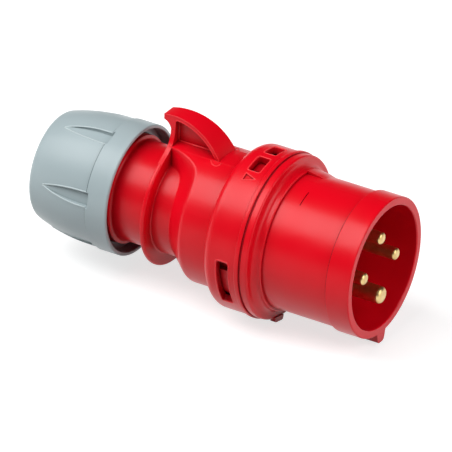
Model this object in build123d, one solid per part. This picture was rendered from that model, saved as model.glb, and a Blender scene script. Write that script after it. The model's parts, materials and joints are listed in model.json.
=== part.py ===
from build123d import *

import os
from math import cos, exp, radians, sin, sqrt

# Straight industrial pin and sleeve plug with three phase pins, an earth pin and a cable gland.
# The plug's axis is X, with the mouth towards +X and the grip fin towards +Z.
# The origin is on the axis in the plane of the flange's front face.
# An angle about the axis is 0 at +Z and grows towards -Y.

# Front sleeve
sleeve_length = 42.0
sleeve_bore_radius = 25.0
sleeve_wall = 2.25
collar_height = 1.05
collar_length = 10.0
mouth_rounding = 0.5
boss_height = 1.15
boss_length = 3.6
seat_fillet = 2.4
flange_height = 4.5
flange_thickness = 3.2
flange_rounding = 0.9
spigot_wall = 2.3
spigot_length = 13.0
edge_rounding = 0.4
step_rounding = 0.15
overcut = 1.0

# Key nose on the collar, at the earth pin's side
nose_height = 4.0
nose_root_width = 6.4
nose_top_width = 4.4
nose_rounding = 1.5

# Marks and small lugs on the sleeve and the flange
tick_distance = 11.1
tick_width = 0.4
tick_depth = 0.3
tick_start = 15.0
tick_arc = 15.0
ramp_start = -32.0
ramp_arc = 22.0
ramp_length = 9.0
ramp_height = 1.3
drain_lug_height = 1.1
drain_lug_width = 6.4
drain_lug_offset = 11.0
drain_lug_length = 2.2
drain_lug_rounding = 1.0

# Bayonet between the front sleeve and the rear housing
bayonet_pitch = 107.5
bayonet_clearance = 0.4
lug_height = 1.8
lug_length = 3.9
lug_rear_inset = 2.8
lug_lead = 9.0
lug_arc = 24.0
rib_length = 2.0
rib_arc = 32.0

# Seal ring between the flange and the bayonet
seal_width = 2.0
seal_height = 2.0
seal_groove_depth = 0.4

# Contact carrier and its retainer
floor_depth = 40.0
carrier_step = 0.6
carrier_clearance = 0.1
carrier_thickness = 10.0
retainer_thickness = 4.0
pin_hole_clearance = 0.05
pin_root_extra = 0.3

# Pins with their terminals
pin_circle_radius = 12.2
phase_pin_radius = 2.5
earth_pin_radius = 3.5
phase_pin_inset = 1.4
earth_pin_inset = 0.0
tip_rounding_share = 0.5
pin_collar_extra = 1.6
pin_collar_thickness = 2.0
terminal_radius = 4.8
terminal_length = 15.0
wire_bore_radius = 3.0
wire_bore_depth = 10.0

# Terminal screws with their pressure plates
terminal_screw_radius = 1.9
terminal_screw_inset = 5.0
terminal_head_radius = 2.9
terminal_head_height = 2.0
plate_length = 6.0
plate_width = 3.6
plate_thickness = 0.8
slot_width = 0.8
slot_depth = 1.0

# Screws that hold the retainer to the carrier
carrier_screw_circle = 19.0
carrier_screw_radius = 1.5
carrier_screw_length = 10.0
carrier_head_radius = 2.8
carrier_head_height = 1.8

# Rear housing: coupling ring
ring_gap = 0.5
ring_wall = 2.7
ring_length = 16.6
bead_width = 1.8
bead_rounding_share = 0.75
bead_height = 0.6
shoulder_rounding = 3.9
window_arc = 37.0
window_inset = 4.7
window_length = 5.0
window_rounding = 1.1
window_edge_rounding = 0.35
window_bar_arc = 6.5
top_window_angle = 2.0
top_window_arc = 15.0
triangle_angle = 26.8
triangle_arc = 6.7
triangle_inset = 4.1
triangle_length = 5.4
triangle_depth = 0.5

# Rear housing: body, neck and threaded spigot
ring_step = 5.5
body_wall = 2.4
body_length = 13.1
cone_length = 8.6
grip_depth = 7.2
neck_wall = 2.5
neck_length = 26.8
shoulder_blend = 3.0
slope_foot_rounding = 1.0
tongue_half_angle = 18.0
tongue_shift = 9.0
tongue_spread = 8.2
tongue_start_angle = 9.0
tongue_end_angle = 64.0
tongue_sections = 12
edge_match = 0.06
thread_step = 1.2
thread_length = 19.2
thread_flange_height = 0.5
thread_flange_length = 3.2
thread_flange_fillet = 1.2

# Grip disc and fin
disc_setback = 8.5
disc_thickness = 1.9
disc_height = 5.4
disc_rounding = 0.8
disc_root_rounding = 0.9
fin_web = 1.5
fin_strap = 1.9
fin_tip_width = 6.5
fin_foot_width = 12.6
fin_wall_width = 7.8
fin_pocket_rounding = 1.2
fin_hook_overhang = 3.6
fin_hook_drop = 4.8
fin_hook_share = 0.3
fin_tip_height = 2.2
fin_height = 11.8
fin_top_radius = 24.0
fin_centre_offset = 0.5
flare_height = 7.4
flare_angle = 31.0

# Cable gland
gland_travel = 3.0
gland_depth = 12.0
gland_seat_width = 4.1
gland_seat_thickness = 2.0
gland_wall = 2.8
seal_clearance = 0.1
cable_radius = 8.5
cable_seal_length = 7.4
cable_seal_ring = 1.6
cage_clearance = 0.3
cage_ring_length = 4.7
cage_wall = 2.0
cage_rim_thickness = 2.0
cage_rim_clearance = 1.0
cage_fingers = 10
cage_finger_gap = 1.6
cage_finger_length = 8.6
cage_tip_opening = 3.1
slip_ring_thickness = 1.0

# Gland nut
nut_overlap = 1.8
nut_mouth_step = 2.8
nut_mouth_depth = 5.0
nut_rim_wall = 1.5
nut_rim_height = 0.75
nut_rim_length = 9.4
nut_rim_rounding = 0.6
nut_thread_clearance = 0.8
nut_straight_length = 4.8
nut_crown_radius = 71.0
nut_rear_rounding = 3.0
nut_rear_wall = 2.4
nut_hole_clearance = 1.0
nut_end_gap = 0.9
nut_finger_clearance = 0.6
nut_shoulder_clearance = 0.2
flute_count = 6
flute_start_angle = 21.0
flute_length = 21.3
flute_width = 4.8
flute_tip_width = 0.4
flute_bulge = 0.8
flute_depth = 1.5
flute_draft = 25.0

# Radii that follow from the sizes above
sleeve_radius = sleeve_bore_radius + sleeve_wall
collar_radius = sleeve_radius + collar_height
boss_radius = sleeve_radius + boss_height
flange_radius = boss_radius + flange_height
drain_lug_radius = flange_radius + drain_lug_height
carrier_radius = sleeve_bore_radius + carrier_step
chamber_radius = carrier_radius + carrier_clearance
spigot_radius = chamber_radius + spigot_wall
ring_bore_radius = spigot_radius + lug_height + bayonet_clearance
ring_radius = ring_bore_radius + ring_wall
body_radius = ring_radius - ring_step
neck_radius = body_radius - grip_depth
disc_radius = neck_radius + disc_height
thread_root_radius = neck_radius + thread_step
thread_flange_radius = thread_root_radius + thread_flange_height
gland_bore_radius = thread_root_radius - gland_wall
gland_seat_radius = gland_bore_radius - gland_seat_width
nut_root_radius = thread_root_radius + nut_thread_clearance
nut_mouth_radius = nut_root_radius + nut_mouth_step
nut_rim_radius = nut_mouth_radius + nut_rim_wall
nut_body_radius = nut_rim_radius - nut_rim_height
flute_floor_radius = nut_body_radius - flute_depth
cage_rim_radius = nut_root_radius - cage_rim_clearance
cage_tip_radius = cable_radius + cage_tip_opening
nut_hole_radius = cage_tip_radius + nut_hole_clearance
plate_height = sqrt(wire_bore_radius ** 2 - (plate_width / 2) ** 2) - pin_hole_clearance

# Places along the axis that follow from the sizes above
carrier_front = sleeve_length - floor_depth
carrier_rear = carrier_front - carrier_thickness
retainer_rear = carrier_rear - retainer_thickness
terminal_rear = carrier_rear - terminal_length
spigot_rear = -flange_thickness - spigot_length
lug_front = spigot_rear + lug_rear_inset + lug_length
rib_rear = lug_front + bayonet_clearance
ring_front = -flange_thickness - ring_gap
window_front = ring_front - window_inset
window_rear = window_front - window_length
ring_rear = ring_front - ring_length
body_rear = ring_rear - body_length
grip_front = ring_rear + (ring_radius - ring_bore_radius) / 2
neck_front = body_rear - cone_length
neck_rear = neck_front - neck_length
thread_rear = neck_rear - thread_length
disc_front = neck_front - disc_setback
disc_rear = disc_front - disc_thickness
fin_centre = disc_front + fin_centre_offset
fin_peak = body_radius + fin_height
gland_seat = thread_rear + gland_depth
cable_seal_rear = gland_seat - cable_seal_length
cage_front = cable_seal_rear - gland_travel - cage_clearance
rim_front = cage_front - cage_ring_length
rim_rear = rim_front - cage_rim_thickness
slip_rear = rim_rear - slip_ring_thickness
finger_rear = rim_rear - cage_finger_length
nut_front = neck_rear + nut_overlap
nut_rear = finger_rear - nut_end_gap - nut_rear_wall


def turned(*corners):
    """Solid of revolution about X from (x, radius, rounding) corners."""
    outline = make_face(Polyline(*[(x, r) for x, r, _ in corners], close=True))
    for x, r, rounding in corners:
        if rounding > 0:
            corner = outline.vertices().sort_by_distance((x, r, 0))[0]
            outline = fillet(corner, rounding)
    return revolve(Plane.XZ * outline, Axis.X)


def ring_sector(x_low, x_high, r_low, r_high, start, arc):
    """Part of a ring about X, from the angle start through arc degrees."""
    middle = Pos((x_low + x_high) / 2, (r_low + r_high) / 2)
    section = Plane.XZ * middle * Rectangle(x_high - x_low, r_high - r_low)
    return Rot(start, 0, 0) * revolve(section, Axis.X, arc)


def rod(x_low, x_high, radius, y=0.0, z=0.0):
    """Round bar parallel to X."""
    bar = Cylinder(radius, x_high - x_low, align=(Align.CENTER, Align.CENTER, Align.MIN))
    return Pos(x_low, y, z) * Rot(0, 90, 0) * bar


def spoke(x, r_low, r_high, radius, angle):
    """Round bar that points outwards from the axis at the given angle."""
    bar = Cylinder(radius, r_high - r_low, align=(Align.CENTER, Align.CENTER, Align.MIN))
    return Rot(angle, 0, 0) * Pos(x, 0, r_low) * bar


def pin_centre(angle):
    """Centre of a pin in the YZ plane."""
    return -pin_circle_radius * sin(radians(angle)), pin_circle_radius * cos(radians(angle))


def front_sleeve():
    """Sleeve with its collar, key nose, flange and the spigot with bayonet lugs."""
    groove = spigot_radius - seal_groove_depth
    groove_rear = -flange_thickness - seal_width - bayonet_clearance
    sleeve = turned(
        (sleeve_length, sleeve_bore_radius, mouth_rounding),
        (sleeve_length, collar_radius, mouth_rounding),
        (sleeve_length - collar_length, collar_radius, step_rounding),
        (sleeve_length - collar_length, sleeve_radius, edge_rounding),
        (boss_length, sleeve_radius, 0),
        (boss_length, boss_radius, edge_rounding),
        (0, boss_radius, seat_fillet),
        (0, flange_radius, flange_rounding),
        (-flange_thickness, flange_radius, edge_rounding),
        (-flange_thickness, groove, 0),
        (groove_rear, groove, 0),
        (groove_rear, spigot_radius, 0),
        (spigot_rear, spigot_radius, edge_rounding),
        (spigot_rear, chamber_radius, 0),
        (carrier_front, chamber_radius, 0),
        (carrier_front, sleeve_bore_radius, 0),
    )
    for centre in (-bayonet_pitch, 0, bayonet_pitch):
        sleeve += ring_sector(
            lug_front - lug_length, lug_front,
            spigot_radius - edge_rounding, spigot_radius + lug_height,
            centre - lug_lead, lug_arc,
        )
    for offset in (-drain_lug_offset, drain_lug_offset):
        sleeve += drain_lug(180 + offset)
    sleeve += key_nose() + sleeve_ramp()
    return sleeve - ring_sector(
        tick_distance - tick_width / 2, tick_distance + tick_width / 2,
        sleeve_radius - tick_depth, sleeve_radius + tick_depth,
        tick_start, tick_arc,
    )


def key_nose():
    """Rounded key on the collar that fixes the plug's place in its socket."""
    root = -(collar_radius - edge_rounding)
    top = -(collar_radius + nose_height)
    outline = make_face(Polyline(
        (-nose_root_width / 2, root), (-nose_top_width / 2, top),
        (nose_top_width / 2, top), (nose_root_width / 2, root),
        close=True,
    ))
    for side in (-1, 1):
        corner = outline.vertices().sort_by_distance((side * nose_top_width / 2, top, 0))[0]
        outline = fillet(corner, nose_rounding)
    start = Plane.YZ.offset(sleeve_length - collar_length)
    nose = extrude(start * outline, collar_length)
    front, rear = sleeve_length + overcut, sleeve_length - collar_length - overcut
    return nose - rod(rear, front, sleeve_radius)


def sleeve_ramp():
    """Low ramp on the sleeve that dies out towards the mouth."""
    section = Plane.XZ * make_face(Polyline(
        (boss_length - edge_rounding, sleeve_radius - edge_rounding),
        (boss_length - edge_rounding, sleeve_radius + ramp_height),
        (boss_length + ramp_length / 2, sleeve_radius + ramp_height / 2),
        (boss_length + ramp_length, sleeve_radius - edge_rounding),
        close=True,
    ))
    return Rot(ramp_start, 0, 0) * revolve(section, Axis.X, ramp_arc)


def drain_lug(angle):
    """Small rounded lug on the flange's edge."""
    root = flange_radius - overcut
    block = Box(drain_lug_length, drain_lug_width, drain_lug_radius - root)
    block = fillet(block.edges().filter_by(Axis.X).group_by(Axis.Z)[-1], drain_lug_rounding)
    place = Pos(-flange_thickness / 2 + drain_lug_length / 2, 0, (root + drain_lug_radius) / 2)
    return Rot(angle, 0, 0) * place * block


def housing_seal():
    """Rubber ring in the groove behind the flange."""
    groove = spigot_radius - seal_groove_depth
    front = -flange_thickness
    return turned(
        (front, groove, 0),
        (front, groove + seal_height, seal_width / 4),
        (front - seal_width, groove + seal_height, seal_width / 4),
        (front - seal_width, groove, 0),
    )


def contact_carrier():
    """Insulating disc in which the pins sit."""
    carrier = turned(
        (carrier_front, 0, 0),
        (carrier_front, carrier_radius, edge_rounding),
        (carrier_rear, carrier_radius, edge_rounding),
        (carrier_rear, 0, 0),
    )
    for angle, radius, _ in pins:
        y, z = pin_centre(angle)
        root = radius + pin_root_extra + pin_hole_clearance
        carrier -= rod(carrier_rear, carrier_front + overcut, root, y, z)
        seat = radius + pin_collar_extra + pin_hole_clearance
        carrier -= rod(carrier_rear - overcut, carrier_rear + pin_collar_thickness, seat, y, z)
    for angle in carrier_screw_angles:
        y, z = carrier_screw_centre(angle)
        bottom = retainer_rear + carrier_screw_length
        carrier -= rod(carrier_rear - overcut, bottom, carrier_screw_radius, y, z)
    return carrier


def carrier_retainer():
    """Plate behind the carrier that traps the collars of the pins."""
    plate = turned(
        (carrier_rear, 0, 0),
        (carrier_rear, carrier_radius, edge_rounding),
        (retainer_rear, carrier_radius, edge_rounding),
        (retainer_rear, 0, 0),
    )
    for angle, _, _ in pins:
        y, z = pin_centre(angle)
        hole = terminal_radius + pin_hole_clearance
        plate -= rod(retainer_rear - overcut, carrier_rear + overcut, hole, y, z)
    for angle in carrier_screw_angles:
        y, z = carrier_screw_centre(angle)
        plate -= rod(retainer_rear - overcut, carrier_rear + overcut, carrier_screw_radius, y, z)
    return plate


def carrier_screw_centre(angle):
    """Centre of a retainer screw in the YZ plane."""
    return -carrier_screw_circle * sin(radians(angle)), carrier_screw_circle * cos(radians(angle))


def carrier_screw(angle):
    """Pan head screw from the retainer into the carrier."""
    y, z = carrier_screw_centre(angle)
    shank = rod(retainer_rear, retainer_rear + carrier_screw_length, carrier_screw_radius, y, z)
    head = rod(retainer_rear - carrier_head_height, retainer_rear, carrier_head_radius, y, z)
    slot = Pos(retainer_rear - carrier_head_height, y, z) * Box(
        2 * slot_depth, slot_width, 2 * carrier_head_radius + overcut
    )
    return shank + head - slot


def contact_pin(angle, radius, inset):
    """Solid round pin with a collar and a terminal barrel behind it."""
    y, z = pin_centre(angle)
    tip = sleeve_length - inset
    stem = rod(carrier_rear, tip, radius, y, z)
    tip_edge = stem.edges().filter_by(GeomType.CIRCLE).sort_by(Axis.X)[-1]
    stem = fillet(tip_edge, tip_rounding_share * radius)
    root = rod(carrier_rear, carrier_front, radius + pin_root_extra, y, z)
    collar = rod(carrier_rear, carrier_rear + pin_collar_thickness, radius + pin_collar_extra, y, z)
    barrel = rod(terminal_rear, carrier_rear, terminal_radius, y, z)
    wire_bore = rod(terminal_rear - overcut, terminal_rear + wire_bore_depth, wire_bore_radius, y, z)
    screw_hole = spoke(
        terminal_rear + terminal_screw_inset, pin_circle_radius,
        pin_circle_radius + terminal_radius + overcut, terminal_screw_radius, angle,
    )
    return stem + root + collar + barrel - wire_bore - screw_hole


def terminal_screw(angle):
    """Slotted screw in the side of a terminal barrel."""
    x = terminal_rear + terminal_screw_inset
    tip = pin_circle_radius + plate_height
    seat = pin_circle_radius + terminal_radius
    top = seat + terminal_head_height
    slot = Rot(angle, 0, 0) * Pos(x, 0, top) * Box(
        2 * terminal_head_radius + overcut, slot_width, 2 * slot_depth
    )
    shank = spoke(x, tip, seat, terminal_screw_radius, angle)
    return shank + spoke(x, seat, top, terminal_head_radius, angle) - slot


def terminal_plate(angle):
    """Pressure plate between a terminal screw and the wire."""
    x = terminal_rear + terminal_screw_inset
    plate = Box(plate_length, plate_width, plate_thickness)
    height = pin_circle_radius + plate_height - plate_thickness / 2
    return Rot(angle, 0, 0) * Pos(x, 0, height) * plate


def rear_housing():
    """Coupling ring, grip body, fin and threaded spigot as one moulding."""
    housing = housing_outside() + grip_fin()
    housing -= housing_inside()
    for centre in (-bayonet_pitch, 0, bayonet_pitch):
        housing += ring_sector(
            rib_rear, rib_rear + rib_length,
            spigot_radius + bayonet_clearance, ring_bore_radius + edge_rounding,
            centre - rib_arc / 2, rib_arc,
        )
    for cutter in ring_windows():
        housing -= cutter
    rim = [edge for edge in housing.edges() if is_window_rim(edge)]
    return fillet(rim, window_edge_rounding) - triangle_mark()


def ring_windows():
    """Cutters for the windows in the ring's wall: two at the sides and a pair at the top."""
    half_bar = window_bar_arc / 2
    return (
        ring_window(-bayonet_pitch - window_arc / 2, window_arc),
        ring_window(bayonet_pitch - window_arc / 2, window_arc),
        ring_window(top_window_angle + half_bar, top_window_arc),
        ring_window(top_window_angle - half_bar - top_window_arc, top_window_arc),
    )


def ring_window(start, arc):
    """Cutter for one window."""
    window = ring_sector(
        window_rear, window_front, ring_bore_radius - overcut, ring_radius + overcut, start, arc
    )
    corners = [edge for edge in window.edges().filter_by(GeomType.LINE) if not edge_is_axial(edge)]
    return fillet(corners, window_rounding)


def is_window_rim(edge):
    """True for an edge between a window and the ring's outside."""
    points = [edge @ share for share in (0, 0.5, 1)]
    outside = all(abs(sqrt(p.Y ** 2 + p.Z ** 2) - ring_radius) < edge_match for p in points)
    return outside and all(window_rear - edge_match < p.X < window_front + edge_match for p in points)


def edge_is_axial(edge):
    """True for an edge that runs along X."""
    return abs(edge.tangent_at(0.5).X) > 0.5


def triangle_mark():
    """Cutter for the sunk triangle on the ring that points at the tick on the sleeve."""
    half_width = ring_radius * sin(radians(triangle_arc / 2))
    front = ring_front - triangle_inset
    outline = make_face(Polyline(
        (front, 0), (front - triangle_length, half_width), (front - triangle_length, -half_width),
        close=True,
    ))
    prism = Pos(0, 0, ring_radius - triangle_depth) * extrude(outline, triangle_depth + overcut)
    return Rot(triangle_angle, 0, 0) * prism


def housing_outside():
    """Outer form without the fin."""
    core = neck_radius - neck_wall - overcut / 2
    disc_root = disc_root_rounding + step_rounding
    solid = turned(
        (ring_front, 0, 0),
        (ring_front, ring_radius + bead_height, bead_height * bead_rounding_share),
        (ring_front - bead_width, ring_radius + bead_height, bead_height * bead_rounding_share),
        (ring_front - bead_width, ring_radius, 0),
        (ring_rear, ring_radius, shoulder_rounding),
        (ring_rear, core, 0),
        (disc_front + disc_root, core, 0),
        (disc_front + disc_root, neck_radius - step_rounding, 0),
        (disc_front, neck_radius - step_rounding, disc_root_rounding),
        (disc_front, disc_radius, disc_rounding),
        (disc_rear, disc_radius, disc_rounding),
        (disc_rear, neck_radius, edge_rounding),
        (neck_rear, neck_radius, thread_flange_fillet),
        (neck_rear, thread_flange_radius, 0),
        (neck_rear - thread_flange_length, thread_flange_radius, 0),
        (neck_rear - thread_flange_length, thread_root_radius, 0),
        (thread_rear, thread_root_radius, edge_rounding),
        (thread_rear, 0, 0),
    )
    return solid + grip_body()


def grip_body():
    """Body, slope and neck before the disc, with a tongue at the top that runs on to the disc."""
    step = (tongue_end_angle - tongue_start_angle) / (tongue_sections - 1)
    side = [tongue_start_angle + step * index for index in range(tongue_sections)]
    angles = [-angle for angle in reversed(side)] + [0] + side
    top = loft([grip_plane(angle) * grip_section(angle) for angle in angles])
    rest = revolve(Plane.XZ * grip_section(tongue_end_angle), Axis.X, 360 - 2 * tongue_end_angle)
    behind = Pos((disc_front + disc_rear) / 2, 0, 0) * Box(
        neck_length + thread_length + tongue_end_angle, 4 * body_radius, 4 * body_radius,
        align=(Align.MAX, Align.CENTER, Align.CENTER),
    )
    return (top - behind) + (Rot(tongue_end_angle, 0, 0) * rest - behind)


def grip_plane(angle):
    """Plane through the axis at this angle, with its local y outwards."""
    return Plane((0, 0, 0), x_dir=(1, 0, 0), z_dir=(0, -cos(radians(angle)), -sin(radians(angle))))


def grip_section(angle):
    """Section at this angle. Near the top the slope moves back, past the disc, and leaves the tongue."""
    core = neck_radius - neck_wall - overcut
    near_top = max(abs(angle), tongue_start_angle)
    shift = tongue_shift * exp((tongue_half_angle - near_top) / tongue_spread)
    foot = neck_front - shift
    rear = neck_front - tongue_shift * exp(tongue_half_angle / tongue_spread)
    outline = make_face(Polyline(
        (rear, core), (rear, neck_radius), (foot, neck_radius),
        (foot + cone_length, body_radius), (grip_front, body_radius), (grip_front, core),
        close=True,
    ))
    foot_corner = outline.vertices().sort_by_distance((foot, neck_radius, 0))[0]
    outline = fillet(foot_corner, slope_foot_rounding)
    shoulder = outline.vertices().sort_by_distance((foot + cone_length, body_radius, 0))[0]
    return fillet(shoulder, shoulder_blend)


def grip_fin():
    """Hooked fin of I section: a strap over a thin web, closed by a wall above the disc."""
    solid = extrude(fin_side(), fin_foot_width, both=True) & fin_plan()
    pocket = Pos(0, -fin_web / 2, 0) * extrude(fin_pocket(), fin_foot_width)
    return solid - pocket - mirror(pocket, Plane.XZ) + fin_flare()


def fin_arc(radius, height):
    """Place along X, before the fin's centre, where its arc of this radius has this height."""
    rise = height - (fin_peak - fin_top_radius)
    return fin_centre + sqrt(radius ** 2 - rise ** 2)


def fin_side():
    """Side view of the fin down to the neck's surface."""
    tip = disc_rear - fin_hook_overhang
    tip_top = fin_peak - fin_top_radius + sqrt(fin_top_radius ** 2 - (tip - fin_centre) ** 2)
    tip_bottom = tip_top - fin_tip_height
    foot = fin_arc(fin_top_radius, neck_radius)
    hook_foot = tip_bottom - fin_hook_drop
    middle_height = tip_bottom - fin_hook_drop * fin_hook_share
    middle = (disc_rear - fin_hook_overhang * fin_hook_share, middle_height)
    outline = make_face(
        ThreePointArc((foot, neck_radius), (fin_centre, fin_peak), (tip, tip_top))
        + Line((tip, tip_top), (tip, tip_bottom))
        + ThreePointArc((tip, tip_bottom), middle, (disc_rear, hook_foot))
        + Line((disc_rear, hook_foot), (disc_rear, neck_radius))
        + Line((disc_rear, neck_radius), (foot, neck_radius))
    )
    return Plane.XZ * outline


def fin_pocket():
    """Side view of the pocket between the strap, the wall and the body."""
    radius = fin_top_radius - fin_strap
    centre_height = fin_peak - fin_top_radius
    rear_top = centre_height + sqrt(radius ** 2 - (disc_front - fin_centre) ** 2)
    foot = fin_arc(radius, neck_radius)
    middle = (fin_arc(radius, body_radius), body_radius)
    outline = make_face(
        ThreePointArc((foot, neck_radius), middle, (disc_front, rear_top))
        + Line((disc_front, rear_top), (disc_front, neck_radius))
        + Line((disc_front, neck_radius), (foot, neck_radius))
    )
    corner = outline.vertices().sort_by_distance((disc_front, rear_top, 0))[0]
    return Plane.XZ * fillet(corner, fin_pocket_rounding)


def fin_plan():
    """Plan of the fin's strap, which widens from the tip to the foot."""
    tip = disc_rear - fin_hook_overhang
    foot = fin_arc(fin_top_radius, neck_radius)
    outline = make_face(Polyline(
        (tip, -fin_tip_width / 2), (foot, -fin_foot_width / 2),
        (foot, fin_foot_width / 2), (tip, fin_tip_width / 2),
        close=True,
    ))
    return extrude(outline, fin_peak + overcut)


def fin_flare():
    """Wall over the disc that narrows upwards into the fin."""
    angle = radians(flare_angle)
    root_y, root_z = disc_radius * sin(angle), disc_radius * cos(angle)
    top_y, top_z = fin_wall_width / 2, disc_radius + flare_height
    outline = make_face(
        Spline((root_y, root_z), (top_y, top_z), tangents=((-cos(angle), sin(angle)), (0, 1)))
        + Line((top_y, top_z), (-top_y, top_z))
        + Spline((-top_y, top_z), (-root_y, root_z), tangents=((0, -1), (-cos(angle), -sin(angle))))
        + Line((-root_y, root_z), (root_y, root_z))
    )
    return extrude(Plane.YZ.offset(disc_rear) * outline, disc_thickness)


def housing_inside():
    """Hollow of the rear housing, open at the ring and at the gland."""
    body_bore = body_radius - body_wall
    neck_bore = neck_radius - neck_wall
    wall = ring_radius - ring_bore_radius
    return turned(
        (ring_front + overcut, 0, 0),
        (ring_front + overcut, ring_bore_radius, 0),
        (ring_rear + wall, ring_bore_radius, 0),
        (ring_rear + wall, body_bore, 0),
        (body_rear + body_wall, body_bore, 0),
        (neck_front + neck_wall, neck_bore, 0),
        (gland_seat + gland_seat_thickness, neck_bore, 0),
        (gland_seat + gland_seat_thickness, gland_seat_radius, 0),
        (gland_seat, gland_seat_radius, 0),
        (gland_seat, gland_bore_radius, 0),
        (thread_rear - overcut, gland_bore_radius, 0),
        (thread_rear - overcut, 0, 0),
    )


def cable_seal():
    """Rubber bush that closes round the cable, with grooves in its rear face."""
    seal = turned(
        (gland_seat, cable_radius, edge_rounding),
        (gland_seat, gland_bore_radius - seal_clearance, edge_rounding),
        (cable_seal_rear, gland_bore_radius - seal_clearance, edge_rounding),
        (cable_seal_rear, cable_radius, edge_rounding),
    )
    radius = cable_radius + cable_seal_ring
    while radius + cable_seal_ring < gland_bore_radius - seal_clearance:
        seal -= turned(
            (cable_seal_rear - overcut, radius, 0),
            (cable_seal_rear - overcut, radius + cable_seal_ring / 2, 0),
            (cable_seal_rear + cable_seal_ring, radius + cable_seal_ring / 2, 0),
            (cable_seal_rear + cable_seal_ring, radius, 0),
        )
        radius += 2 * cable_seal_ring
    return seal


def clamp_cage():
    """Ring with a rim and a basket of fingers that close on the cable."""
    outer = gland_bore_radius - cage_clearance
    inner = outer - cage_wall
    cage = turned(
        (cage_front, inner, edge_rounding),
        (cage_front, outer, edge_rounding),
        (rim_front, outer, 0),
        (rim_front, cage_rim_radius, edge_rounding),
        (rim_rear, cage_rim_radius, edge_rounding),
        (rim_rear, outer, 0),
        (finger_rear, cage_tip_radius + cage_wall, edge_rounding),
        (finger_rear, cage_tip_radius, edge_rounding),
        (rim_rear, inner, 0),
    )
    gap_length = cage_finger_length - cage_wall / 2
    gap = Box(gap_length, cage_finger_gap, outer, align=(Align.MIN, Align.CENTER, Align.MIN))
    for index in range(cage_fingers):
        cage -= Rot(index * 360 / cage_fingers, 0, 0) * Pos(finger_rear, 0, 0) * gap
    return cage


def slip_ring():
    """Thin washer on which the gland nut turns."""
    inner = gland_bore_radius - cage_clearance + nut_shoulder_clearance
    return turned(
        (rim_rear, inner, 0),
        (rim_rear, cage_rim_radius, 0),
        (slip_rear, cage_rim_radius, 0),
        (slip_rear, inner, 0),
    )


def gland_nut():
    """Domed cap nut with a collar and flutes for the hand."""
    body_front = nut_front - nut_rim_length
    crown_front = body_front - nut_straight_length
    end_radius = crown_height(nut_rear, crown_front)
    middle_x = (crown_front + nut_rear) / 2
    shoulder = slip_rear - nut_shoulder_clearance
    finger_outside = gland_bore_radius - cage_clearance + nut_finger_clearance
    tip_outside = cage_tip_radius + cage_wall + nut_finger_clearance
    inner_rear = nut_rear + nut_rear_wall
    outline = make_face(
        Polyline(
            (crown_front, nut_body_radius), (body_front, nut_body_radius),
            (body_front, nut_rim_radius), (nut_front, nut_rim_radius),
            (nut_front, nut_mouth_radius), (nut_front - nut_mouth_depth, nut_mouth_radius),
            (nut_front - nut_mouth_depth, nut_root_radius), (shoulder, nut_root_radius),
            (shoulder, finger_outside), (inner_rear, tip_outside),
            (inner_rear, nut_hole_radius), (nut_rear, nut_hole_radius), (nut_rear, end_radius),
        )
        + ThreePointArc(
            (nut_rear, end_radius), (middle_x, crown_height(middle_x, crown_front)),
            (crown_front, nut_body_radius),
        )
    )
    roundings = (
        (nut_front, nut_rim_radius, nut_rim_rounding),
        (nut_front, nut_mouth_radius, edge_rounding),
        (body_front, nut_rim_radius, step_rounding),
        (nut_rear, end_radius, nut_rear_rounding),
        (nut_rear, nut_hole_radius, nut_rim_rounding),
    )
    for x, radius, rounding in roundings:
        outline = fillet(outline.vertices().sort_by_distance((x, radius, 0))[0], rounding)
    nut = revolve(Plane.XZ * outline, Axis.X)
    for index in range(flute_count):
        nut -= Rot(flute_start_angle + index * 360 / flute_count, 0, 0) * flute(body_front)
    return nut


def crown_height(x, crown_front):
    """Outer radius of the nut's domed part."""
    return nut_body_radius - nut_crown_radius + sqrt(nut_crown_radius ** 2 - (crown_front - x) ** 2)


def flute(front):
    """Cutter for a flute that narrows to a point towards the rear."""
    rear, middle = front - flute_length, front - flute_length / 2
    half, half_tip = flute_width / 2, flute_tip_width / 2
    bulge = (half + half_tip) / 2 + flute_bulge
    outline = make_face(
        Line((front, -half), (front, half))
        + ThreePointArc((front, half), (middle, bulge), (rear, half_tip))
        + Line((rear, half_tip), (rear, -half_tip))
        + ThreePointArc((rear, -half_tip), (middle, -bulge), (front, -half))
    )
    cutter = extrude(outline, flute_depth + overcut, taper=-flute_draft)
    return Pos(0, 0, flute_floor_radius) * cutter


pins = (
    (0, phase_pin_radius, phase_pin_inset),
    (90, phase_pin_radius, phase_pin_inset),
    (-90, phase_pin_radius, phase_pin_inset),
    (180, earth_pin_radius, earth_pin_inset),
)
pin_names = ("pin_phase_1", "pin_phase_2", "pin_phase_3", "pin_earth")
carrier_screw_angles = (45, 225)

parts = {
    "front_sleeve": front_sleeve(),
    "housing_seal": housing_seal(),
    "contact_carrier": contact_carrier(),
    "carrier_retainer": carrier_retainer(),
    "rear_housing": rear_housing(),
    "cable_seal": cable_seal(),
    "clamp_cage": clamp_cage(),
    "slip_ring": slip_ring(),
    "gland_nut": gland_nut(),
}
for number, angle in enumerate(carrier_screw_angles, 1):
    parts[f"carrier_screw_{number}"] = carrier_screw(angle)
for number, (name, pin) in enumerate(zip(pin_names, pins), 1):
    parts[name] = contact_pin(*pin)
    parts[f"terminal_screw_{number}"] = terminal_screw(pin[0])
    parts[f"terminal_plate_{number}"] = terminal_plate(pin[0])

os.makedirs("parts", exist_ok=True)
for name, shape in parts.items():
    export_step(shape, f"parts/{name}.step")
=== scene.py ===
import json
from math import cos, pi, radians, sin, sqrt, tau

import bpy
from mathutils import Matrix, Vector


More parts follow.
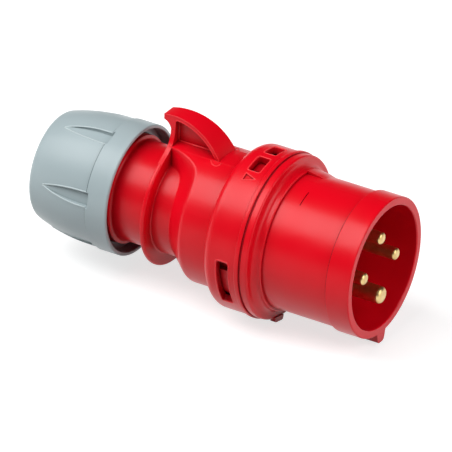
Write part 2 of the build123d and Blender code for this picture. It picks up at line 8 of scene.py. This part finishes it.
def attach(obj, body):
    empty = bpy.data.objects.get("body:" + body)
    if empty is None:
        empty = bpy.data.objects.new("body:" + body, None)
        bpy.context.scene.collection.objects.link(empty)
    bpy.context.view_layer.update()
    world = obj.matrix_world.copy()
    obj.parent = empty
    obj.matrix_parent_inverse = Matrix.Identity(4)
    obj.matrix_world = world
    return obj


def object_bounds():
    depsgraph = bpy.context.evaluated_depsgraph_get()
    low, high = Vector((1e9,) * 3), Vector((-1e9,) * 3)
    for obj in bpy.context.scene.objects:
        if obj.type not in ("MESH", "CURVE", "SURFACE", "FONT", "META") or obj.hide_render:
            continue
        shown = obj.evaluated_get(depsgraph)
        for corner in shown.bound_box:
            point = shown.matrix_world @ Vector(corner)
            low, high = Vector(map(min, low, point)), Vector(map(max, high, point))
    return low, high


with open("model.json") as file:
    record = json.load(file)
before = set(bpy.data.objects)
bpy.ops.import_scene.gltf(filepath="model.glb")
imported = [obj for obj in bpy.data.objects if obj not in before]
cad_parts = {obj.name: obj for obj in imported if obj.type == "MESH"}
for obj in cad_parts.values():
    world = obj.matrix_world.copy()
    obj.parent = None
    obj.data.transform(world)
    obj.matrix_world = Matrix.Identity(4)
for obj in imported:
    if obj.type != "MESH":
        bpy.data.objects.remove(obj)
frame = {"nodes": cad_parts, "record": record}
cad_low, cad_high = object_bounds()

# Sizes are in metres, in the frame of the CAD: the axis is X, the mouth is towards +X, the fin is at +Z.
mm = 0.001

# Camera, fitted to the photograph's outlines
camera_azimuth = radians(29.46)
camera_elevation = radians(28.4)
camera_roll = radians(2.62)
camera_target = Vector((-28.39, 0, -3.63)) * mm
camera_distance = 3.0
camera_focal_pixels = 7782.0
photo_width = 452
sensor_width = 36.0

# The frame holds the CAD's pieces as meshes only, so the sizes that the details sit on are repeated here.

# Gland thread
thread_pitch = 3.0 * mm
thread_height = 0.55 * mm
thread_base_width = 1.3 * mm
thread_crest_width = 0.5 * mm
thread_embed = 0.15 * mm
spigot_root_radius = 21.4 * mm
spigot_thread_start = -87.0 * mm
spigot_thread_end = -73.4 * mm
nut_root_radius = 22.2 * mm
nut_thread_start = -88.2 * mm
nut_thread_end = -75.7 * mm

# Nut and its flutes
nut_body_radius = 25.75 * mm
nut_crown_start = -81.2 * mm
nut_crown_radius = 71.0 * mm
flute_count = 6
flute_first_angle = radians(21.0)
flute_front = -76.6 * mm
flute_rear = -97.2 * mm
flute_half_width = 3.0 * mm
flute_taper = 2.4

# Fin and the tongue that it stands on
tongue_radius = 27.4 * mm
fin_centre = Vector((-50.0, 0, 15.2)) * mm
fin_top_radius = 24.0 * mm
fin_strap = 1.9 * mm
fin_tip = -56.0 * mm
fin_foot = -29.2 * mm
fin_tip_half_width = 3.25 * mm
fin_spread = 3.05 / 29.47
fin_web_half = 0.75 * mm
fin_wall_front = -50.5 * mm
fin_wall_height = 9.0 * mm
fin_web_length = 17.5 * mm
# Corners of the curl at the fin's foot: x and the distance from the fin's side, in millimetres
foot_curl = ((-32.6, 0.9), (-30.9, 3.4), (-28.0, 3.6), (-28.2, 0.2))

# Coupling ring, with the start and arc of each window in degrees
ring_radius = 32.9 * mm
window_front = -8.4 * mm
window_rear = -13.4 * mm
window_rounding = 1.1 * mm
windows = ((-125.5, 37.0), (88.5, 37.0), (5.25, 15.0), (-16.25, 15.0))
triangle_corners = ((-7.8 * mm, 0.0), (-13.2 * mm, 1.93 * mm), (-13.2 * mm, -1.93 * mm))
triangle_rounding = 0.4 * mm
triangle_angle = radians(26.8)

# Steps and the gap that get a dark line of painted shade
nut_step = -76.76 * mm
collar_step = 31.5 * mm
sleeve_radius = 27.25 * mm
gap_middle = -3.38 * mm
gap_radius = 32.62 * mm

# Fine edges: each bar's radius, and how far its middle lies off the edge or under the surface
fin_edge_radius = 0.28 * mm
fin_edge_inset = 0.2 * mm
fin_top_inset = 0.3 * mm
fin_edge_buried = 0.5 * mm
fin_fillet_radius = 0.35 * mm
fin_fillet_outset = 0.1 * mm
foot_curl_sink = 0.15 * mm
flute_lip_radius = 0.32 * mm
flute_lip_outset = 0.15 * mm
flute_lip_sink = 0.12 * mm
ring_lip_radius = 0.3 * mm
window_lip_outset = 0.35 * mm
window_lip_sink = 0.17 * mm
triangle_lip_sink = 0.08 * mm
shade_line_radius = 0.2 * mm
shade_line_sink = 0.05 * mm
shade_line_clearance = 0.3 * mm

# Reaches of the shade painted into hollows and steps, from the wide to the narrow
painted_shade_reaches = (9 * mm, 1.6 * mm)


def radial(x, radius, angle):
    """Point at this distance from the axis. The angle is 0 at +Z and grows towards -Y."""
    return Vector((x, -radius * sin(angle), radius * cos(angle)))


def new_piece(name, points, faces, body, material):
    """Mesh object that rides on a body and has a material."""
    mesh = bpy.data.meshes.new(name)
    mesh.from_pydata(points, [], faces)
    mesh.polygons.foreach_set("use_smooth", [True] * len(faces))
    mesh.materials.append(material)
    piece = bpy.data.objects.new(name, mesh)
    bpy.context.scene.collection.objects.link(piece)
    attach(piece, body)
    return piece


# Materials


def spread(nodes, links, source, low_in, high_in, low_out, high_out):
    """Node whose result goes from low_out to high_out as the source goes from low_in to high_in."""
    node = nodes.new("ShaderNodeMapRange")
    for socket, value in (
        ("From Min", low_in), ("From Max", high_in), ("To Min", low_out), ("To Max", high_out),
    ):
        node.inputs[socket].default_value = value
    links.new(source, node.inputs["Value"])
    return node


class Finish:
    """A Principled material and the nodes that build its colour, roughness and bump."""

    def __init__(self, name):
        self.material = bpy.data.materials.new(name)
        self.material.use_nodes = True
        self.nodes = self.material.node_tree.nodes
        self.links = self.material.node_tree.links
        self.shader = self.nodes["Principled BSDF"]
        self.place = self.nodes.new("ShaderNodeTexCoord").outputs["Object"]

    def constant(self, **values):
        """Sets the shader's own sockets."""
        for socket, value in values.items():
            self.shader.inputs[socket.replace("_", " ")].default_value = value

    def noise(self, size, detail=2.0, stretch=(1, 1, 1)):
        """Noise with features of this size."""
        mapping = self.nodes.new("ShaderNodeMapping")
        mapping.inputs["Scale"].default_value = stretch
        self.links.new(self.place, mapping.inputs["Vector"])
        noise = self.nodes.new("ShaderNodeTexNoise")
        noise.inputs["Scale"].default_value = 1 / size
        noise.inputs["Detail"].default_value = detail
        self.links.new(mapping.outputs["Vector"], noise.inputs["Vector"])
        return noise.outputs["Fac"]

    def ramp(self, source, low, high, low_colour, high_colour):
        """Colour that goes from one to the other as the source goes from low to high."""
        ramp = self.nodes.new("ShaderNodeValToRGB")
        first, last = ramp.color_ramp.elements
        first.position, last.position = low, high
        first.color, last.color = (*low_colour, 1), (*high_colour, 1)
        self.links.new(source, ramp.inputs["Fac"])
        return ramp.outputs["Color"]

    def between(self, source, low, high):
        """Number from low to high as a noise goes through its usual values."""
        return spread(self.nodes, self.links, source, 0.3, 0.7, low, high).outputs["Result"]

    def hollows(self, colour, reach, darkest):
        """Colour darkened by painted shade in grooves and hollows of this reach."""
        openness = self.nodes.new("ShaderNodeAmbientOcclusion")
        openness.samples = 8
        openness.inputs["Distance"].default_value = reach
        share = spread(self.nodes, self.links, openness.outputs["AO"], 0.15, 0.85, darkest, 1.0)
        product = self.nodes.new("ShaderNodeVectorMath")
        product.operation = "SCALE"
        self.links.new(colour, product.inputs["Vector"])
        self.links.new(share.outputs["Result"], product.inputs["Scale"])
        return product.outputs["Vector"]

    def bump(self, height, distance):
        """Relief from a height, in metres."""
        bump = self.nodes.new("ShaderNodeBump")
        bump.inputs["Distance"].default_value = distance
        self.links.new(height, bump.inputs["Height"])
        self.links.new(bump.outputs["Normal"], self.shader.inputs["Normal"])

    def link(self, output, socket):
        self.links.new(output, self.shader.inputs[socket])


def moulded_plastic(name, dark, light, roughness, painted_shade=(0.5, 0.6)):
    """Satin moulded plastic: faint flow clouds, fine grain and painted shade in its hollows and steps."""
    finish = Finish(name)
    clouds = finish.noise(size=14 * mm, detail=0.0, stretch=(0.5, 1, 1))
    colour = finish.ramp(clouds, 0.1, 0.9, dark, light)
    # Painted shade: the colour darkens where ambient occlusion finds a hollow of each reach.
    for reach, darkest in zip(painted_shade_reaches, painted_shade):
        colour = finish.hollows(colour, reach, darkest)
    finish.link(colour, "Base Color")
    sheen = finish.noise(size=9 * mm, detail=0.0)
    finish.link(finish.between(sheen, *roughness), "Roughness")
    finish.constant(IOR=1.5, Specular_IOR_Level=0.28)
    grain = finish.noise(size=0.35 * mm)
    finish.bump(grain, distance=0.004 * mm)
    return finish.material


def rubber(name, dark, light):
    """Matt rubber with a fine pebbled skin."""
    finish = Finish(name)
    bloom = finish.noise(size=3 * mm, detail=4.0)
    finish.link(finish.ramp(bloom, 0.35, 0.7, dark, light), "Base Color")
    sheen = finish.noise(size=1.5 * mm, detail=3.0)
    finish.link(finish.between(sheen, 0.55, 0.8), "Roughness")
    finish.constant(IOR=1.5, Specular_IOR_Level=0.35)
    pebbles = finish.noise(size=0.25 * mm, detail=3.0)
    finish.bump(pebbles, distance=0.01 * mm)
    return finish.material


def turned_metal(name, dark, light, roughness, mark_size):
    """Turned metal with fine tool marks round its axis and a little tarnish."""
    finish = Finish(name)
    finish.constant(Metallic=1.0)
    tarnish = finish.noise(size=4.0 * mm, detail=3.0)
    finish.link(finish.ramp(tarnish, 0.35, 0.65, dark, light), "Base Color")
    clean, tarnished = roughness
    finish.link(finish.between(tarnish, tarnished, clean), "Roughness")
    tool_marks = finish.noise(size=mark_size, stretch=(1, 0.02, 0.02))
    finish.bump(tool_marks, distance=0.004 * mm)
    return finish.material


def make_finishes():
    """Material of each slot of the record, the lighter ones of fine edges with a painted highlight, and
    the dark ones of painted shade.
    """
    return {
        # Lighter red than the plastic, with no painted shade: a painted highlight along the fine edges.
        "red_edge_highlight": moulded_plastic(
            "red_edge_highlight", (0.84, 0.02, 0.03), (0.90, 0.035, 0.045), (0.28, 0.34), painted_shade=()
        ),
        # Dark red: painted shade in the collar's step and in the gap behind the flange.
        "red_shade_line": moulded_plastic(
            "red_shade_line", (0.36, 0.0004, 0.006), (0.42, 0.0006, 0.008), (0.45, 0.6), painted_shade=()
        ),
        # Lighter grey than the plastic, with no painted shade: a painted highlight along the flutes'
        # lips.
        "grey_edge_highlight": moulded_plastic(
            "grey_edge_highlight", (0.47, 0.55, 0.565), (0.52, 0.60, 0.615), (0.30, 0.38), painted_shade=()
        ),
        # Dark grey: painted shade in the nut's step.
        "grey_shade_line": moulded_plastic(
            "grey_shade_line", (0.15, 0.19, 0.20), (0.19, 0.23, 0.24), (0.45, 0.6), painted_shade=()
        ),
        "red_plastic": moulded_plastic(
            "red_plastic", (0.70, 0.0004, 0.0085), (0.78, 0.0008, 0.0115), (0.28, 0.34)
        ),
        "grey_plastic": moulded_plastic(
            "grey_plastic", (0.36, 0.435, 0.455), (0.39, 0.465, 0.485), (0.30, 0.38), (0.7, 0.8)
        ),
        "carrier_plastic": moulded_plastic(
            "carrier_plastic", (0.20, 0.002, 0.006), (0.25, 0.003, 0.009), (0.45, 0.6)
        ),
        "black_plastic": moulded_plastic(
            "black_plastic", (0.010, 0.010, 0.011), (0.018, 0.018, 0.019), (0.4, 0.55)
        ),
        "black_rubber": rubber("black_rubber", (0.010, 0.010, 0.010), (0.024, 0.024, 0.024)),
        "brass": turned_metal("brass", (0.62, 0.43, 0.18), (0.80, 0.60, 0.28), (0.29, 0.36), 0.12 * mm),
        "steel": turned_metal("steel", (0.42, 0.42, 0.43), (0.60, 0.60, 0.61), (0.28, 0.38), 0.1 * mm),
    }


def dress_nodes(finishes):
    """Gives every CAD node the material of its slot."""
    for part in frame["record"]["subparts"]:
        node = frame["nodes"][part["node"]]
        for slot in node.material_slots:
            slot.material = finishes[part["material_slot"]]


# Pieces that the CAD leaves to the scene


def thread_ridge(name, start, end, root, outwards, phase, body, material):
    """Ridge along a right-hand helix, which fades into its root at both ends."""
    steps_per_turn = 72
    steps = round((end - start) / thread_pitch * steps_per_turn)
    fade = steps_per_turn // 4
    points, faces = [], []
    for step in range(steps + 1):
        turn = step / steps_per_turn
        angle = phase + turn * tau
        x = start + turn * thread_pitch
        share = min(1.0, step / fade, (steps - step) / fade)
        height = outwards * (thread_height * share - thread_embed * (1 - share))
        for side, width, rise in (
            (-1, thread_base_width, -thread_embed * outwards), (-1, thread_crest_width, height),
            (1, thread_crest_width, height), (1, thread_base_width, -thread_embed * outwards),
        ):
            points.append(radial(x + side * width / 2, root + rise, angle))
    for step in range(steps):
        for corner in range(4):
            a, b = 4 * step + corner, 4 * step + (corner + 1) % 4
            faces.append((a, b, b + 4, a + 4) if outwards > 0 else (a, a + 4, b + 4, b))
    faces += [(3, 2, 1, 0), tuple(4 * steps + corner for corner in range(4))]
    ridge = new_piece(name, points, faces, body, material)
    for face in ridge.data.polygons:
        face.use_smooth = False
    return ridge


def make_threads(finishes):
    """The spigot's thread and the nut's, half a pitch apart, so they pass as the nut turns."""
    thread_ridge(
        "housing_thread", spigot_thread_start, spigot_thread_end, spigot_root_radius, 1, 0.0,
        "rear", finishes["red_plastic"],
    )
    lag = (nut_thread_start - spigot_thread_start) / thread_pitch * tau + pi
    thread_ridge(
        "nut_thread", nut_thread_start, nut_thread_end, nut_root_radius, -1, lag,
        "nut", finishes["grey_plastic"],
    )


def rounded_edge(name, path, radius, body, material, closed=False):
    """Fine round bar along an edge, so that the edge catches the light as a moulded one does."""
    sides = 10
    off_path = Vector((0.3, 0.2, 1.0))
    count = len(path)
    points, faces = [], []
    for index, middle in enumerate(path):
        if closed:
            along = (path[(index + 1) % count] - path[index - 1]).normalized()
        else:
            along = (path[min(index + 1, count - 1)] - path[max(index - 1, 0)]).normalized()
        across = along.cross(off_path).normalized()
        up = along.cross(across)
        for side in range(sides):
            angle = tau * side / sides
            points.append(middle + (across * cos(angle) + up * sin(angle)) * radius)
    for index in range(count if closed else count - 1):
        for side in range(sides):
            near, far = sides * index, sides * ((index + 1) % count)
            following = (side + 1) % sides
            faces.append((near + side, near + following, far + following, far + side))
    if not closed:
        last = sides * (count - 1)
        faces += [tuple(reversed(range(sides))), tuple(last + side for side in range(sides))]
    return new_piece(name, points, faces, body, material)


def fin_half_width(x):
    """Half the width of the fin's strap."""
    return fin_tip_half_width + (x - fin_tip) * fin_spread


def fin_edge(radius, side):
    """Points along one edge of the fin's strap at this radius."""
    steps = 48
    points = []
    for step in range(steps + 1):
        x = fin_tip + (fin_foot - fin_tip) * step / steps
        z = fin_centre.z + sqrt(radius ** 2 - (x - fin_centre.x) ** 2)
        points.append(Vector((x, side * (fin_half_width(x) - fin_edge_inset), z)))
    return points


def make_fin_edges(finishes):
    """Rounded edges of the fin's strap and fillets at the foot of its web."""
    red = finishes["red_edge_highlight"]
    lowest = tongue_radius - fin_edge_buried
    for side, hand in ((-1, "near"), (1, "far")):
        top = fin_edge(fin_top_radius - fin_top_inset, side)
        rounded_edge(f"fin_top_edge_{hand}", top, fin_edge_radius, "rear", red)
        under = [
            point for point in fin_edge(fin_top_radius - fin_strap + fin_edge_inset, side)
            if point.x > fin_wall_front and point.z > lowest
        ]
        rounded_edge(f"fin_under_edge_{hand}", under, fin_edge_radius, "rear", red)
        y = side * (fin_web_half + fin_fillet_outset)
        corner = Vector((fin_wall_front, y, sqrt(tongue_radius ** 2 - y ** 2)))
        for name, run in (("foot", (fin_web_length, 0, 0)), ("root", (0, 0, fin_wall_height))):
            path = [corner + Vector(run) * share for share in (0, 0.5, 1)]
            rounded_edge(f"fin_web_{name}_{hand}", path, fin_fillet_radius, "rear", red)


def make_foot_curls(finishes):
    """Raised arcs round the fin's foot, where its sides run out on the body."""
    steps = 16
    for side, hand in ((1, "near"), (-1, "far")):
        path = []
        for step in range(steps + 1):
            spots = [Vector(corner) * mm for corner in foot_curl]
            while len(spots) > 1:
                spots = [first.lerp(second, step / steps) for first, second in zip(spots, spots[1:])]
            x, beside = spots[0]
            angle = side * (fin_half_width(x) + beside) / tongue_radius
            path.append(radial(x, tongue_radius - foot_curl_sink, angle))
        rounded_edge(
            f"fin_foot_curl_{hand}", path, fin_fillet_radius, "rear", finishes["red_edge_highlight"]
        )


def nut_surface(x):
    """Outer radius of the nut's domed part."""
    along = max(0.0, nut_crown_start - x)
    return nut_body_radius - nut_crown_radius + sqrt(nut_crown_radius ** 2 - along ** 2)


def make_flute_edges(finishes):
    """Rounded lips along both sides of each flute of the nut."""
    steps = 32
    for index in range(flute_count):
        middle = flute_first_angle + tau * index / flute_count
        for side, hand in ((-1, "a"), (1, "b")):
            path = []
            for step in range(steps + 1):
                share = step / steps
                x = flute_front + (flute_rear - flute_front) * share
                half_width = flute_half_width * (1 - share ** flute_taper) + flute_lip_outset
                radius = nut_surface(x)
                path.append(radial(x, radius - flute_lip_sink, middle + side * half_width / radius))
            rounded_edge(
                f"flute_lip_{index + 1}_{hand}", path, flute_lip_radius, "nut",
                finishes["grey_edge_highlight"],
            )


def rounded_loop(corners, rounding):
    """Points of a closed outline through these corners, with an arc at each."""
    arc_steps, run_steps = 6, 12
    points = []
    for index, corner in enumerate(corners):
        before, after = corners[index - 1], corners[(index + 1) % len(corners)]
        start = corner + (before - corner).normalized() * rounding
        end = corner + (after - corner).normalized() * rounding
        run_end = after + (corner - after).normalized() * rounding
        for step in range(arc_steps + 1):
            share = step / arc_steps
            points.append(start.lerp(corner, share).lerp(corner.lerp(end, share), share))
        points += [end.lerp(run_end, step / run_steps) for step in range(1, run_steps)]
    return points


def make_ring_lips(finishes):
    """Raised lips round the coupling ring's windows and its triangle."""
    outlines = []
    front, rear = window_front + window_lip_outset, window_rear - window_lip_outset
    for start, arc in windows:
        low = radians(start) * ring_radius - window_lip_outset
        high = radians(start + arc) * ring_radius + window_lip_outset
        corners = [(front, low), (front, high), (rear, high), (rear, low)]
        outlines.append((corners, window_rounding, window_lip_sink))
    middle = triangle_angle * ring_radius
    corners = [(x, middle + across) for x, across in triangle_corners]
    outlines.append((corners, triangle_rounding, triangle_lip_sink))
    for index, (corners, rounding, sink) in enumerate(outlines):
        loop = rounded_loop([Vector(corner) for corner in corners], rounding)
        path = [radial(point.x, ring_radius - sink, point.y / ring_radius) for point in loop]
        rounded_edge(
            f"ring_lip_{index + 1}", path, ring_lip_radius, "rear",
            finishes["red_edge_highlight"], closed=True,
        )


def ring_arc(x, radius, start, end, steps):
    """Points along a circle about the axis."""
    return [radial(x, radius, start + (end - start) * step / steps) for step in range(steps + 1)]


def make_shade_lines(finishes):
    """Dark bars of painted shade at the steps of the nut and the collar, and in the gap behind the
    flange.
    """
    arc_steps, loop_steps = 24, 120
    half_arc = (flute_half_width + shade_line_clearance) / nut_body_radius
    for index in range(flute_count):
        start = flute_first_angle + tau * index / flute_count + half_arc
        end = flute_first_angle + tau * (index + 1) / flute_count - half_arc
        path = ring_arc(nut_step, nut_body_radius - shade_line_sink, start, end, arc_steps)
        rounded_edge(
            f"nut_shade_line_{index + 1}", path, shade_line_radius, "nut", finishes["grey_shade_line"]
        )
    for name, x, radius in (
        ("collar_shade_line", collar_step, sleeve_radius - shade_line_sink), ("gap_shade_line", gap_middle, gap_radius),
    ):
        loop = ring_arc(x, radius, 0.0, tau, loop_steps)[:-1]
        rounded_edge(name, loop, shade_line_radius, "front", finishes["red_shade_line"], closed=True)


# Camera, light and floor


def view_axes():
    """Right, up and back of the camera, with its roll."""
    back = Vector((
        sin(camera_azimuth) * cos(camera_elevation),
        -cos(camera_azimuth) * cos(camera_elevation),
        sin(camera_elevation),
    ))
    right = Vector((cos(camera_azimuth), sin(camera_azimuth), 0))
    up = back.cross(right)
    return (
        right * cos(camera_roll) + up * sin(camera_roll),
        up * cos(camera_roll) - right * sin(camera_roll),
        back,
    )


def place(thing, right, up, back, distance):
    """Turns a camera or a lamp towards the object's middle, at this distance."""
    turn = Matrix((right, up, back)).transposed().to_4x4()
    thing.matrix_world = Matrix.Translation(camera_target + back * distance) @ turn


def make_camera():
    """Long lens at the photograph's viewing angle."""
    data = bpy.data.cameras.new("camera")
    data.sensor_width = sensor_width
    data.sensor_fit = "HORIZONTAL"
    data.lens = camera_focal_pixels / photo_width * sensor_width
    data.clip_end = 20.0
    camera = bpy.data.objects.new("camera", data)
    bpy.context.scene.collection.objects.link(camera)
    place(camera, *view_axes(), camera_distance)
    bpy.context.scene.camera = camera


def area_light(name, direction, distance, width, height, power):
    """Softbox that looks at the object's middle."""
    data = bpy.data.lights.new(name, "AREA")
    data.shape = "RECTANGLE"
    data.size, data.size_y = width, height
    data.energy = power
    lamp = bpy.data.objects.new(name, data)
    bpy.context.scene.collection.objects.link(lamp)
    back = Vector(direction).normalized()
    right = (Vector((1, 0, 0)) - back * back.x).normalized()
    place(lamp, right, back.cross(right), back, distance)


def make_lights():
    """Large softbox from the upper left and a smaller one before the mouth."""
    area_light("key", (-0.43, -0.38, 0.82), distance=1.2, width=1.5, height=0.8, power=19.0)
    area_light("front", (0.85, -0.05, 0.50), distance=1.2, width=0.9, height=0.9, power=8.0)


def seen_share(nodes, links):
    """1 for what the camera sees directly, in a reflection or through glass."""
    path = nodes.new("ShaderNodeLightPath")
    total = path.outputs["Is Camera Ray"]
    for ray in ("Is Glossy Ray", "Is Transmission Ray"):
        add = nodes.new("ShaderNodeMath")
        add.operation = "ADD"
        add.use_clamp = True
        links.new(total, add.inputs[0])
        links.new(path.outputs[ray], add.inputs[1])
        total = add.outputs["Value"]
    return total


def make_world():
    """Pale surroundings at the height of the object under a darker ceiling."""
    world = bpy.data.worlds.new("studio")
    world.use_nodes = True
    nodes, links = world.node_tree.nodes, world.node_tree.links
    ceiling_start, pale, dim = 0.32, 0.45, 0.03
    direction = nodes.new("ShaderNodeSeparateXYZ")
    links.new(nodes.new("ShaderNodeTexCoord").outputs["Generated"], direction.inputs["Vector"])
    strength = spread(nodes, links, direction.outputs["Z"], 0.0, ceiling_start, pale, dim)
    strength.interpolation_type = "SMOOTHSTEP"
    background = nodes["Background"]
    background.inputs["Color"].default_value = (1, 1, 1, 1)
    links.new(strength.outputs["Result"], background.inputs["Strength"])
    bpy.context.scene.world = world


def make_floor():
    """Round white floor with a low upturned rim. It keeps the object's shadow."""
    radius, sides, rim_height = 4.5, 64, 0.3
    near, far, near_glow, far_glow = 0.4, 2.0, 0.70, 1.0
    height = cad_low.z - 0.2 * mm
    turns = [tau * side / sides for side in range(sides)]
    points = [
        (radius * cos(turn), radius * sin(turn), height + rise)
        for rise in (0.0, rim_height) for turn in turns
    ]
    faces = [tuple(range(sides))]
    for side in range(sides):
        following = (side + 1) % sides
        faces.append((side, side + sides, following + sides, following))
    mesh = bpy.data.meshes.new("floor")
    mesh.from_pydata(points, [], faces)
    material = bpy.data.materials.new("floor")
    material.use_nodes = True
    nodes, links = material.node_tree.nodes, material.node_tree.links
    shader = nodes["Principled BSDF"]
    shader.inputs["Base Color"].default_value = (0.5, 0.5, 0.5, 1)
    shader.inputs["Roughness"].default_value = 0.9
    shader.inputs["Specular IOR Level"].default_value = 0.0
    shader.inputs["Emission Color"].default_value = (1, 1, 1, 1)
    away = nodes.new("ShaderNodeVectorMath")
    away.operation = "LENGTH"
    links.new(nodes.new("ShaderNodeTexCoord").outputs["Object"], away.inputs[0])
    level = spread(nodes, links, away.outputs["Value"], near, far, near_glow, far_glow)
    glow = nodes.new("ShaderNodeMath")
    glow.operation = "MULTIPLY"
    links.new(seen_share(nodes, links), glow.inputs[0])
    links.new(level.outputs["Result"], glow.inputs[1])
    links.new(glow.outputs["Value"], shader.inputs["Emission Strength"])
    mesh.materials.append(material)
    floor = bpy.data.objects.new("floor", mesh)
    bpy.context.scene.collection.objects.link(floor)


make_camera()
make_lights()
make_world()
make_floor()
finishes = make_finishes()
dress_nodes(finishes)
make_threads(finishes)
make_fin_edges(finishes)
make_foot_curls(finishes)
make_flute_edges(finishes)
make_ring_lips(finishes)
make_shade_lines(finishes)

bpy.context.scene.view_settings.view_transform = "Standard"
